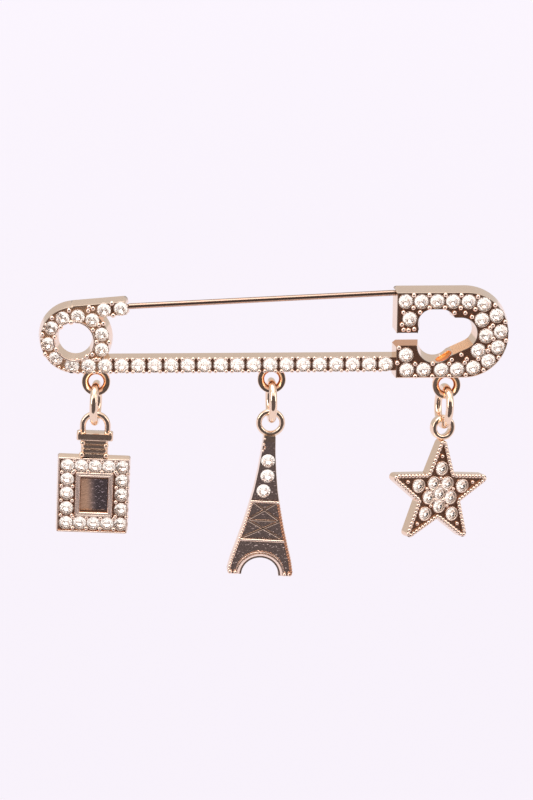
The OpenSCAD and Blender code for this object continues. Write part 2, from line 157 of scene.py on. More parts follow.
# Rose gold plate on cast alloy: bright, slightly uneven, so reflections break into soft patches
roseGold = platedMetal("rose_gold_plate", {
    "colour": "#F3D7BF", "roughness": (0.10, 0.20), "ripple": (0.9, 0.06, 0.35), "wear": 0.35})
# Painted shade: a darker, slightly rougher copy of the plate on the sunken floors, for the dark
# brown seen between the stones
paintedShadeGold = platedMetal("painted_shade_rose_gold_plate", {
    "colour": "#C9977A", "roughness": (0.16, 0.3), "ripple": (0.5, 0.06, 0.6), "wear": 0.35})
# Painted reflection: the same plate tinted orange in the slot and inside the loops, where metal
# mirrors itself
paintedReflectionGold = platedMetal("painted_reflection_rose_gold_plate", {
    "colour": "#E9A87C", "roughness": (0.12, 0.22), "ripple": (1.2, 0.1, 0.5), "wear": 0.35})
# Satin plate on the coil's floor and the opening's wall: a light, warm brown
satinGold = platedMetal("satin_rose_gold_plate", {
    "colour": "#F2C6A0", "roughness": (0.42, 0.58), "ripple": (0.5, 0.06, 0.6), "wear": 0.35})
# Painted reflection: deep orange in the small hollow, standing in for a mirror that sees only
# itself
hollowPaintedReflectionGold = platedMetal("hollow_painted_reflection_plate", {
    "colour": "#F5964E", "roughness": (0.06, 0.14), "ripple": (0.8, 0.06, 0.4), "wear": 0.35})
# Wavy plate of the tower's panels: streaks and speckles on a dark ground
wavyGold = platedMetal("wavy_rose_gold_plate", {
    "colour": "#EBD3C6", "roughness": (0.08, 0.2), "ripple": (0.45, 0.1, 1.0), "wear": 0.3})
# The same plate on small balls and beads, smoother, so each shows one highlight, and lighter in
# colour as a painted highlight
paintedHighlightBeadGold = platedMetal("rose_gold_beads_painted_highlight", {
    "colour": "#FFE6D4", "roughness": (0.2, 0.32), "ripple": (0.6, 0.02, 0.1), "wear": 0.3})
# Polished wire of the jump rings: long mirror streaks
ringGold = platedMetal("rose_gold_wire", {
    "colour": "#F6DBC2", "roughness": (0.06, 0.12), "ripple": (1.6, 0.03, 0.12), "wear": 0.5})
# Plated steel of the needle: a dark core between a light top and a beige lower edge
needleSteel = platedMetal("plated_steel", {
    "colour": "#A48979", "roughness": (0.14, 0.24), "ripple": (1.1, 0.02, 0.15), "wear": 0.4})
# The bottle's pane, whose painted sheen turns from tan to slate: left and right are where the
# turn starts and ends, from the pane's middle
paneSheenLook = {"left": -1.3, "right": 0.5, "leftColour": "#D9AE90", "rightColour": "#B3A3A4",
            "leftMetal": 0.65, "leftRoughness": 0.45, "rightRoughness": 0.14, "ripple": 0.45,
            "rippleHeight": 0.12}
# Clear cut crystal over a silvered back: the eye sees a white sparkle with grey facets
crystal = foiledCrystal("foiled_crystal", {
    "tint": "#FFFCFA", "ior": 1.55, "foil": "#FCF9F7", "foilRoughness": 0.03,
    "clearRoughness": 0.0, "haze": 0.9, "milk": "#FFFBF7", "milkShare": 0.14, "backFrom": 0.05})


# Geometry helpers

def offsetOutline(corners, radii, d):
    # Rounded counter-clockwise outline, drawn in by d; every d gives the same number of points
    count = len(corners)
    points = []
    for i in range(count):
        a, p, b = (Vector(corners[(i + k) % count]) for k in (-1, 0, 1))
        into, out = (p - a).normalized(), (b - p).normalized()
        n1, n2 = Vector((into.y, -into.x)), Vector((out.y, -out.x))
        convex = into.x * out.y - into.y * out.x > 0
        r = max(radii[i] - d, 0.01) if convex else radii[i] + d
        reach = -(d + r) if convex else radii[i]
        centre = p + (n1 + n2) * reach / (1 + n1.dot(n2))
        a1, a2 = math.atan2(n1.y, n1.x), math.atan2(n2.y, n2.x)
        turn = (a2 - a1 + math.pi) % (2 * math.pi) - math.pi
        steps = 3 + int(4 * radii[i])
        for k in range(steps + 1):
            angle = a1 + turn * k / steps
            n = Vector((math.cos(angle), math.sin(angle)))
            points.append(tuple(centre + (n * r if convex else -n * r)))
    return points


def circle(centre, r, count=96):
    # Round outline for any d
    turns = [2 * math.pi * i / count for i in range(count)]
    return lambda d: [(centre[0] + (r - d) * math.cos(a), centre[1] + (r - d) * math.sin(a))
                      for a in turns]


def rounded(corners, radii):
    # Outline through the corners for any d, rounded by one radius or by a list of them
    radii = radii if isinstance(radii, list) else [radii] * len(corners)
    return lambda d: offsetOutline(corners, radii, d)


def box(left, right, low, high):
    return [(left, low), (right, low), (right, high), (left, high)]


def rectangle(width, low, high, x=0.0):
    return box(x - width / 2, x + width / 2, low, high)


def polar(r, degrees, middle=(0, 0)):
    a = math.radians(degrees)
    return (middle[0] + r * math.cos(a), middle[1] + r * math.sin(a))


def joinRings(bm, rings, around):
    # Walls from ring to ring, closed by the last and the first or by two caps
    for low, high in zip(rings, rings[1:] + rings[:1] if around else rings[1:]):
        for i in range(len(low)):
            j = (i + 1) % len(low)
            bm.faces.new((low[i], low[j], high[j], high[i]))
    if not around:
        bm.faces.new(rings[0])
        bm.faces.new(list(reversed(rings[-1])))


def addLoft(bm, outlineAt, profile):
    # Closed solid through the outline drawn in by d at each depth y
    rings = [[bm.verts.new((x, y, z)) for x, z in outlineAt(d)] for y, d in profile]
    joinRings(bm, rings, False)


def addBall(bm, place, r, detail=2):
    bmesh.ops.create_icosphere(bm, subdivisions=detail, radius=r,
                               matrix=Matrix.Translation(place))


def addRod(bm, r, length, matrix, sides):
    bmesh.ops.create_cone(bm, segments=sides, radius1=r, radius2=r, depth=length, cap_ends=True,
                          matrix=matrix)


def addBand(bm, centre, r, section, turns=64, start=0.0, sweep=2 * math.pi):
    # Sweeps a closed section of (outward, along y) points round a loop that lies in XZ
    around = abs(sweep - 2 * math.pi) < 1e-6
    rings = []
    for i in range(turns if around else turns + 1):
        a = start + sweep * i / turns
        rings.append([bm.verts.new((centre[0] + (r + u) * math.cos(a), centre[1] + v,
                                    centre[2] + (r + u) * math.sin(a))) for u, v in section])
    joinRings(bm, rings, around)


def addRim(bm, outlineAt, inward, y, section):
    # Sweeps a closed section of (outward, along y) points along an outline
    rings = [[bm.verts.new((x, y + v, z)) for x, z in outlineAt(inward - u)] for u, v in section]
    joinRings(bm, rings, True)


def addBezel(bm, place, floor, r, wall):
    # Thin raised wall round a stone; place is x and z
    addBand(bm, (place[0], floor - wall, place[1]), r + wall,
            roundSection(wall, 2 * wall, 0.9 * wall), 24)


def roundSection(halfOut, halfAlong, corner, steps=4):
    # Rounded rectangle as (outward, along) points
    points = []
    for q, (su, sv) in enumerate(((1, 1), (-1, 1), (-1, -1), (1, -1))):
        for k in range(steps + 1):
            a = math.pi / 2 * (q + k / steps)
            points.append((su * (halfOut - corner) + corner * math.cos(a),
                           sv * (halfAlong - corner) + corner * math.sin(a)))
    return points


def addBlock(bm, low, high, b=0.0):
    # Block between two corners, its edges rounded by b
    profile = [(low[1], b), (low[1] + 0.3 * b, 0.3 * b), (low[1] + b, 0),
               (high[1] - b, 0), (high[1] - 0.3 * b, 0.3 * b), (high[1], b)]
    addLoft(bm, rounded(box(low[0], high[0], low[2], high[2]), max(b, 0.02)), profile)


def draftProfile(front, back, draft, edge):
    # Depths and drawn-in widths of a cast side wall that narrows towards the front
    rise = (back - front - edge) / (back - front)
    return [(back, edge), (back - 0.3 * edge, 0.3 * edge), (back - edge, 0),
            (front + edge, draft * rise), (front + 0.3 * edge, draft + 0.25 * edge),
            (front, draft + edge)]


def shadeSmooth(mesh, angle):
    for polygon in mesh.polygons:
        polygon.use_smooth = True
    mesh.set_sharp_from_angle(angle=math.radians(angle))


def finishMesh(mesh, bm, angle=35):
    bmesh.ops.recalc_face_normals(bm, faces=bm.faces)
    bm.to_mesh(mesh)
    bm.free()
    shadeSmooth(mesh, angle)


def addObject(name, data):
    thing = bpy.data.objects.new(name, data)
    bpy.context.scene.collection.objects.link(thing)
    return thing


def makePiece(name, bm, material, placement=None, angle=35):
    mesh = bpy.data.meshes.new(name)
    bmesh.ops.transform(bm, matrix=placement or Matrix.Identity(4), verts=bm.verts)
    bmesh.ops.scale(bm, vec=(mm, mm, mm), verts=bm.verts)
    finishMesh(mesh, bm, angle)
    mesh.materials.append(material)
    return addObject(name, mesh)


def carve(target, cutter, operation="DIFFERENCE"):
    # The cutter is used up and gives its metal to the faces that come from it
    step = target.modifiers.new(operation.lower(), "BOOLEAN")
    step.operation, step.solver, step.object = operation, "EXACT", cutter
    step.material_mode = "TRANSFER"
    seen = target.evaluated_get(bpy.context.evaluated_depsgraph_get())
    mesh = bpy.data.meshes.new_from_object(seen)
    target.modifiers.clear()
    target.data = mesh
    bpy.data.objects.remove(cutter)


def scratch(build, material=None):
    # A first body or a cutter
    bm = bmesh.new()
    build(bm)
    return makePiece("cutter", bm, material or roseGold)


def prism(outlineAt, profile, material=None):
    return scratch(lambda bm: addLoft(bm, outlineAt, profile), material)


def softenNormals(piece, angle=35):
    # Flat faces keep one shade up to their edges
    shadeSmooth(piece.data, angle)
    weigh = piece.modifiers.new("weighted", "WEIGHTED_NORMAL")
    weigh.keep_sharp = True


def tintFaces(piece, material, chosen):
    # Gives the faces whose middle and normal fit, both in millimetres of the mesh, another metal
    piece.data.materials.append(material)
    index = len(piece.data.materials) - 1
    for polygon in piece.data.polygons:
        if chosen(Vector(polygon.center) / mm, polygon.normal):
            polygon.material_index = index


def facesFront(normal):
    return normal.y < -0.8


def sunken(level):
    # Chooses the faces of a sunken floor
    return lambda middle, normal: facesFront(normal) and middle.y > level - 0.02


def stonePlaces(node):
    # Middle of each loose stone of a CAD node, in millimetres
    bm = bmesh.new()
    bm.from_mesh(nodes[node].data)
    bmesh.ops.remove_doubles(bm, verts=bm.verts, dist=1e-6)
    places, seen = [], set()
    for first in bm.verts:
        if first in seen:
            continue
        group, stack = [], [first]
        seen.add(first)
        while stack:
            vert = stack.pop()
            group.append(vert.co)
            for edge in vert.link_edges:
                other = edge.other_vert(vert)
                if other not in seen:
                    seen.add(other)
                    stack.append(other)
        middle = [(min(c[k] for c in group) + max(c[k] for c in group)) / 2 for k in range(3)]
        places.append(Vector(middle) / mm)
    bm.free()
    return places


def flatPlaces(places):
    # The x and z of each
    return [Vector((p.x, p.z)) for p in places]


def carveSeats(target, stones, r, sides=24):
    # Conical seats below a floor and clear bores above it; stones are pairs of middles and floor
    def seats(bm):
        for places, floor in stones:
            rows = [(floor + 0.85 * r, -0.2), (floor, -r), (floor - 0.6, -r)]
            for place in places:
                addLoft(bm, circle((place.x, place.z), 0, sides), rows)
    carve(target, scratch(seats))


# Frame: coil, arm, bar and head as one cast body
bodyLook = {
    "barFront": -1.75, "barBack": 0.75, "headFront": -1.9, "headBack": 1.3,
    "floorDepth": 0.25, "seatR": 1.03, "rim": 0.13, "edge": 0.14,
    "coil": (-27.22, -5.53), "coilR": 5.42, "coilDraft": 0.44,
    "hole": (-27.3, -5.7), "holeBackR": 2.45, "holeFrontR": 2.82, "wall": 0.12,
    "armMid": (-20.6, -0.86), "armSlope": 4.6, "armLeft": 7.0, "armRight": 1.25, "armH": 2.65,
    "armDraft": 0.34, "armR": [0.2, 0.35, 0.6, 0.2], "armRim": (0.14, 0.18),
    "barZ": -9.45, "barH": 2.45, "barDraft": 0.2, "barRim": 0.06, "barInHead": 1.5,
    "recessInHead": 0.2,
    "headX": 27.889, "headZ": -5.1, "headW": 17.1, "headH": 13.6, "headDraft": 0.36,
    "headR": [0.45, 6.7, 6.7, 0.45],
    # The pierced opening as circles and as bands with round ends, from the middle of the head
    "rounds": [((-3.0, 1.85), 2.1), ((-1.7, 1.85), 2.1), ((-2.45, -1.45), 2.7),
               ((1.2, 0.25), 2.42)],
    "bridges": [((-3.0, 1.85), (-1.7, 1.85), 2.1), ((-3.0, 0.2), (-1.9, 0.2), 2.1),
                ((-2.35, 0.25), (1.2, 0.25), 2.42), ((-2.45, -1.45), (1.2, 0.25), 2.42)],
    "openingMiddle": (-1.6, 0.1), "openingBack": 0.4,
    "slotLow": -1.45, "slotTop": 0.29, "slotEnd": 3.5, "slotR": [0.02, 0.4, 0.02, 0.02, 0.4, 0.02],
    "hollow": (26.75, -0.9, -8.35), "hollowSize": (1.4, 1.4, 0.6, 1), "hollowTilt": -32,
    # Hidden rooms round the needle's root and eye, the rivet and the needle's point
    "hinge": (-21.576, -1.01), "rootRoom": ((-0.87, -0.52, -0.5), (3.6, 3, 0.62)),
    "eyeRoomR": 0.85, "eyeRoomDepth": 1.12, "eyeRoomUp": 0.06, "rivetRoomR": 0.36,
    "pointRoom": ((0, -0.54, -0.5), (3.9, 3, 0.5)), "pointRoomEnd": 0.2, "pointRoomAt": 18.9,
    "needleTilt": -2.68,
    # Where the slot's lower wall gets the painted orange reflection and the opening's rising wall
    # looks satin
    "orangeX": (-0.2, 3.5), "orangeZ": 0.3, "satinX": (0.1, 2.8), "satinZ": (-3.6, -0.6),
}


def armAt(look, t, q):
    a = math.radians(look["armSlope"])
    return (look["armMid"][0] + t * math.cos(a) - q * math.sin(a),
            look["armMid"][1] + t * math.sin(a) + q * math.cos(a))


def openingOutline(look, d, count=128):
    # Pierced opening of the head, drawn out by d: where rays from its middle leave its round parts
    middle = Vector(look["openingMiddle"])

    def inside(p):
        for c, r in look["rounds"]:
            if (p - Vector(c)).length < r + d:
                return True
        for a, b, r in look["bridges"]:
            a, b = Vector(a), Vector(b)
            t = min(max((p - a).dot(b - a) / (b - a).length_squared, 0), 1)
            if (p - a - t * (b - a)).length < r + d:
                return True
        return False

    points = []
    for i in range(count):
        a = 2 * math.pi * i / count
        ray = Vector((math.cos(a), math.sin(a)))
        # Halves the range of the ray's length until it meets the edge
        low, high = 0.5, 7.0
        for _ in range(20):
            half = (low + high) / 2
            low, high = (half, high) if inside(middle + half * ray) else (low, half)
        p = middle + low * ray
        points.append((look["headX"] + p.x, look["headZ"] + p.y))
    return points


def frameBody(look):
    front, back = look["barFront"], look["barBack"]
    headFront, headBack = look["headFront"], look["headBack"]
    floor, headFloor = front + look["floorDepth"], headFront + look["floorDepth"]
    rim, edge, wall = look["rim"], look["edge"], look["wall"]
    headX, headZ = look["headX"], look["headZ"]
    headLeft = headX - look["headW"] / 2
    # How far cutters reach past what they cut
    past = 0.5
    coil = circle(look["coil"], look["coilR"])
    half = look["armH"] / 2
    arm = rounded([armAt(look, t, q) for t, q in
                   box(-look["armLeft"], look["armRight"], -half, half)], look["armR"])
    half = look["headH"] / 2
    head = rounded(rectangle(look["headW"], headZ - half, headZ + half, headX), look["headR"])

    def bar(inHead):
        half = look["barH"] / 2
        return rounded(box(look["coil"][0], headLeft + inHead, look["barZ"] - half,
                           look["barZ"] + half), 0.02)

    def opening(d):
        return openingOutline(look, d)

    body = prism(coil, draftProfile(front, back, look["coilDraft"], edge))
    body.name = "frame_body"
    for outlineAt, profile in (
            (arm, draftProfile(front, back, look["armDraft"], edge)),
            (bar(look["barInHead"]), draftProfile(floor, back, look["barDraft"], look["barRim"])),
            (head, draftProfile(headFront, headBack, look["headDraft"], edge))):
        carve(body, prism(outlineAt, profile), "UNION")

    # Sunken floor of coil, arm and bar, but not the wall round the coil's hole
    above, inset = front - 1, look["coilDraft"] + rim
    recess = prism(coil, [(above, inset), (floor, inset + 0.05)])
    carve(recess, prism(circle(look["hole"], look["holeFrontR"]),
                        [(above - 1, -wall), (floor + 1, -wall)]))
    insets = [look["armDraft"] + armRim for armRim in look["armRim"]]
    carve(recess, prism(arm, [(above, insets[0]), (floor, insets[1])]), "UNION")
    inset = look["barDraft"] + look["barRim"]
    carve(recess, prism(bar(look["recessInHead"]), [(above, inset), (floor + 0.003, inset)]),
          "UNION")
    carve(body, recess)

    # Sunken floor of the head, but not the wall round its opening
    inset = look["headDraft"] + rim
    recess = prism(head, [(above, inset), (headFloor, inset + 0.05)])
    carve(recess, prism(opening, [(above - 1, wall), (headFloor + 1, wall)]))
    carve(body, recess)

    slope = (look["holeFrontR"] - look["holeBackR"]) / (back - front)
    carve(body, prism(circle(look["hole"], look["holeBackR"]),
                      [(front - past, -slope * (back - front + past)),
                       (back + past, slope * past)]))
    slope = look["openingBack"] / (headBack - headFront)
    carve(body, prism(opening, [(headFront - past, slope * past),
                                (headBack + past, -slope * (headBack - headFront + past))]))
    low, high, right = headZ + look["slotLow"], headZ + look["slotTop"], headX - look["slotEnd"]
    slot = rounded([(headLeft - 1, low - 1.2), (headLeft + 0.5, low), (right, low),
                    (right, high), (headLeft + 0.35, high), (headLeft - 1, high + 1.2)],
                   look["slotR"])
    carve(body, prism(slot, [(headFront - past, -0.12), (headBack + past, 0.05)]))
    carveSeats(body, [(stonePlaces(node), level) for node, level in (
        ("coil_stones", floor), ("bar_stones", floor), ("head_stones", headFloor))],
        look["seatR"])

    x, z = look["hinge"]

    def rootRoom(bm):
        low, high = look["rootRoom"]
        addBlock(bm, (x + low[0], low[1], z + low[2]), (x + high[0], high[1], z + high[2]))

    def eyeRoom(bm):
        addRod(bm, look["eyeRoomR"], look["eyeRoomDepth"],
               Matrix.Translation((x, 0, z + look["eyeRoomUp"])), 48)

    def pointRoom(bm):
        # Narrows with the needle's point
        low, high = look["pointRoom"]
        addBlock(bm, low, high)
        for vert in bm.verts:
            vert.co.z *= 1 - (1 - look["pointRoomEnd"] / high[2]) * vert.co.x / high[0]
        bmesh.ops.transform(bm, matrix=Matrix.Rotation(math.radians(look["needleTilt"]), 4, "Y")
                            @ Matrix.Translation((look["pointRoomAt"], 0, 0)), verts=bm.verts)

    def rivetRoom(bm):
        addRod(bm, look["rivetRoomR"], look["armH"] - 0.2, Matrix.Translation((x, 0, z)), 32)

    for room in (rootRoom, eyeRoom, pointRoom, rivetRoom):
        carve(body, scratch(room))

    def hollow(bm):
        # Small cast hollow in the lower wall of the opening
        addBall(bm, (0, 0, 0), 1.0, 3)
        tilt = Matrix.Rotation(math.radians(look["hollowTilt"]), 4, "Y")
        bmesh.ops.transform(bm, matrix=Matrix.Translation(look["hollow"]) @ tilt
                            @ Matrix.Diagonal(look["hollowSize"]), verts=bm.verts)

    # Painted reflection: the hollow's faces get the deep orange plate
    carve(body, scratch(hollow, hollowPaintedReflectionGold))
    # The coil's floor is satin and the other floors get the painted shade of the darker plate
    coilRight, isSunken = look["coil"][0] + look["coilR"], sunken(headFloor)
    tintFaces(body, paintedShadeGold,
              lambda middle, normal: isSunken(middle, normal) and middle.x > coilRight)
    tintFaces(body, satinGold,
              lambda middle, normal: isSunken(middle, normal) and middle.x <= coilRight)
    # Painted reflection: the top of the slot's lower jaw gets the orange plate
    jawTop, (low, high) = headZ + look["slotLow"], look["orangeX"]
    tintFaces(body, paintedReflectionGold, lambda middle, normal: normal.z > 0.6
              and abs(middle.z - jawTop) < look["orangeZ"]
              and headLeft + low < middle.x < headLeft + high)
    # The rising wall of the opening, right of the hollow
    (x0, x1), (z0, z1) = look["satinX"], look["satinZ"]
    tintFaces(body, satinGold, lambda middle, normal: normal.z > 0.5
              and x0 < middle.x - headX < x1 and z0 < middle.z - headZ < z1)
    softenNormals(body)
    return body


# Grains raised from the floor between the stones
grainLook = {
    "r": 0.37, "proud": 0.12, "off": 0.95, "clear": 1.1, "apart": 0.45, "barR": 0.3,
    "barAlong": 0.42, "edgeR": 0.26, "edgeAngles": range(150, 268, 9), "bezel": 0.05,
    "lip": 0.14, "lipHalf": 0.12, "lipR": 0.1, "lipSunk": 0.04, "coilTight": 0.06,
    "ringStep": 0.9, "coilR": 3.78, "coilAngles": [131, 97, 167, 204.5], "rightR": 4.18,
    "rightAngles": [64.5, 31.5, -2],
    # Further grains, from the middle of the coil's hole and from that of the head, as x and z
    "coilExtra": [(2.33, 5.12), (2.9, 4.9), (3.7, 2.42), (3.15, -2.75), (1.8, -2.3), (4.1, -3.2),
                  (2.6, -2.0)],
    "headExtra": [
        (0.2, 3.39), (1.77, 3.38), (2.76, 2.79), (3.22, 3.7), (0.91, 4.05), (-7.26, 3.51),
        (-4.83, 3.5), (-7.46, 1.68), (-7.2, 0.92), (-6.47, 0.84), (-5.63, 1.0), (0.0, -3.67),
        (1.37, -2.91), (2.2, -3.6), (-7.99, -4.12), (-7.79, -1.84), (5.47, 1.1), (5.49, -1.76),
        (7.02, -3.29), (-5.38, -4.05)],
    # Stones nearer the head's middle than this, in x and in z, are not in its outer row
    "innerX": (-6.9, 5.2), "innerZ": (-3.1, 2.6),
}


def grainsBetween(row, off, along=0.0, longest=3.0):
    # Grains on both sides of the line from each stone to the next
    shifts = (-along, along) if along else (0.0,)
    found = []
    for a, b in zip(row, row[1:]):
        if (b - a).length > longest:
            continue
        step = (b - a).normalized()
        across = Vector((-step.y, step.x)) * off
        for shift in shifts:
            found += [(a + b) / 2 + step * shift + across, (a + b) / 2 + step * shift - across]
    return found


def grainsInPairs(places, off, reach):
    # The same for every two stones that lie nearer than reach
    return [p for i, a in enumerate(places) for b in places[i + 1:] if (b - a).length < reach
            for p in grainsBetween([a, b], off)]


def frameGrains(look, body):
    hole, head = Vector(body["hole"]), Vector((body["headX"], body["headZ"]))
    floor, headFloor = body["barFront"] + body["floorDepth"], body["headFront"] + body["floorDepth"]
    flat = {node: flatPlaces(stonePlaces(node))
            for node in ("coil_stones", "bar_stones", "head_stones")}
    bar = sorted(flat["bar_stones"], key=lambda p: p.x)
    barPlaces = grainsBetween(bar, look["off"], look["barAlong"])
    places, step = [], look["ringStep"]
    for r, angles in ((look["coilR"], look["coilAngles"]), (look["rightR"], look["rightAngles"])):
        for a in angles:
            places += [(hole + Vector(polar(1, a)) * (r + s * step), floor) for s in (-1, 1)]
    places += [(Vector(armAt(body, -1.0, s * step)), floor) for s in (-1, 1)]
    places += [(hole + Vector(p), floor) for p in look["coilExtra"]]
    (x0, x1), (z0, z1) = look["innerX"], look["innerZ"]
    outer = [p for p in flat["head_stones"]
             if not (x0 < p.x - head.x < x1 and z0 < p.y - head.y < z1)]
    outer.sort(key=lambda p: -math.atan2(p.y - head.y, p.x - head.x - 0.01))
    places += [(p, headFloor) for p in grainsBetween(outer, look["off"])]
    places += [(head + Vector(p), headFloor) for p in look["headExtra"]]
    everyStone = [p for group in flat.values() for p in group]
    kept = []
    for p, level in places:
        if (min((p - q).length for q in everyStone) >= look["clear"]
                and all((p - q).length >= look["apart"] for q, _ in kept)):
            kept.append((p, level))
    bm = bmesh.new()
    for p, level in kept:
        addBall(bm, (p.x, level - look["proud"], p.y), look["r"])
    for p in barPlaces:
        addBall(bm, (p.x, floor - look["proud"], p.y), look["barR"])
    for node, level, tight in (("coil_stones", floor, look["coilTight"]),
                               ("bar_stones", floor, 0), ("head_stones", headFloor, 0)):
        for p in flat[node]:
            addBezel(bm, p, level, body["seatR"] - tight, look["bezel"])
    # Raised lip of the coil's hole
    x, z = body["hole"]
    addBand(bm, (x, body["barFront"] + look["lipSunk"], z), body["holeFrontR"] + look["lip"],
            roundSection(look["lip"], look["lipHalf"], look["lipR"]), 96)
    # Beads along the coil's lower left edge
    centre, edge = Vector(body["coil"]), body["coilR"] - body["coilDraft"] - look["edgeR"]
    for a in look["edgeAngles"]:
        p = centre + Vector(polar(1, a)) * edge
        addBall(bm, (p.x, floor - look["proud"], p.y), look["edgeR"])
    return makePiece("frame_grains", bm, paintedHighlightBeadGold, angle=180)


# Loops under the frame: a flat front with a wide slope into the hole
loopLook = {
    "r": 1.58, "tint": 0.35,
    # Section of the wire as outward and along y
    "section": [(0.45, 0.5), (0.5, 0.42), (0.5, -0.4), (0.42, -0.5), (0.04, -0.5), (-0.2, -0.36),
                (-0.38, -0.2), (-0.48, -0.06), (-0.5, 0.06), (-0.46, 0.2), (-0.32, 0.36),
                (-0.1, 0.48)],
}


def frameLoops(look):
    bm = bmesh.new()
    middles = [jointPlace[name + "_swing"] + Vector((0, 0, look["r"]))
               for name in ("bottle", "tower", "star")]
    for middle in middles:
        addBand(bm, middle, look["r"], look["section"])
    loops = makePiece("frame_loops", bm, ringGold, angle=18)

    # Painted reflection: faces turned towards a loop's middle get the orange plate
    def inside(at, normal):
        nearest = min(middles, key=lambda middle: (middle - at).length)
        return normal.dot((nearest - at).normalized()) > look["tint"]
    tintFaces(loops, paintedReflectionGold, inside)
    return loops


print("frame body")
brooch = [frameBody(bodyLook), frameGrains(grainLook, bodyLook), frameLoops(loopLook)]
for piece in brooch:
    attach(piece, "brooch")
    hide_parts("frame")


def hanging(name, look):
    # A charm's own frame, down from where it hangs on its ring
    return (Matrix.Translation(jointPlace[name + "_sway"])
            @ Matrix.Rotation(math.radians(look["yaw"]), 4, "Z")
            @ Matrix.Rotation(math.radians(look["lean"]), 4, "Y")
            @ Matrix.Rotation(math.radians(look["pitch"]), 4, "X"))


def charmFrame(name, look):
    # Where a charm hangs, its front, back and floor along y, and the middles of its stones
    placement = hanging(name, look)
    home = placement.inverted()
    front, back = -look["t"] / 2, look["t"] / 2
    stones = [home @ place for place in stonePlaces(name + "_stones")]
    return placement, front, back, front + look["floorDepth"], stones


# Wire of the jump rings and the play between it and what hangs on it
ringLook = {"wire": 0.58, "r": 2.83, "gap": 0.04}


def addWireLoop(bm, r, wire, turns=64, sweep=2 * math.pi):
    # Loop or arch of round wire that rests on the jump ring; gives the height of its middle
    z = ringLook["wire"] + ringLook["gap"] + wire - r
    addBand(bm, (0, 0, z), r, roundSection(wire, wire, wire - 0.01, 6), turns, 0, sweep)
    return z


def dress(pieces, name):
    for piece in pieces:
        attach(piece, name + "_charm")
        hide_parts(name)


# Bottle: a framed pane with stones round it, a ribbed neck, a stopper plate and a wire arch
bottleLook = {
    "yaw": 2.4, "lean": 3.5, "pitch": 0.0, "w": 10.9, "top": -5.46, "low": -17.59, "t": 1.6,
    "draft": 0.2, "edge": 0.12, "floorDepth": 0.25, "rim": 0.06, "seatR": 0.99,
    "paneX": 0.17, "paneZ": -11.41, "frameW": 5.6, "frameH": 7.0, "paneW": 4.2, "paneH": 5.2,
    "plateW": 5.4, "plateT": 2.1, "plateTop": -1.75, "plateLow": -2.81,
    "neckW": 4.05, "neckT": 1.5, "ribs": 4, "archR": 1.83, "wire": 0.45, "foot": 0.14,
    "grainR": 0.33, "grainOff": 0.84, "grainProud": 0.05, "grainReach": 2.6, "bezel": 0.05,
    "cornerR": 0.35,
    # Cast blobs beside the neck and the feet of the arch, as x, z and radius
    "blobs": [(-1.75, -3.25, 0.42), (-1.85, -5.1, 0.44), (1.7, -3.6, 0.4), (1.75, -5.15, 0.42),
              (-2.25, -1.7, 0.36), (2.25, -1.7, 0.36)],
}


def addStack(bm, outlineAt, profile):
    # Closed solid through the plan outline drawn in by d at each height z
    before = len(bm.verts)
    addLoft(bm, outlineAt, profile)
    bm.verts.ensure_lookup_table()
    for vert in bm.verts[before:]:
        vert.co = Vector((vert.co.x, vert.co.z, vert.co.y))


def addPost(bm, place, low, high, r, foot, sides=24):
    # Round post with a flared foot
    addStack(bm, circle(place, r, sides),
             [(low, -foot), (low + foot, -0.3 * foot), (low + 2.2 * foot, 0), (high, 0)])


def inPlace(piece, placement):
    # Moves a mesh made about the origin to its charm's place
    bm = bmesh.new()
    bm.from_mesh(piece.data)
    bmesh.ops.transform(bm, matrix=Matrix.Scale(mm, 4) @ placement @ Matrix.Scale(1 / mm, 4),
                        verts=bm.verts)
    finishMesh(piece.data, bm)
    softenNormals(piece)


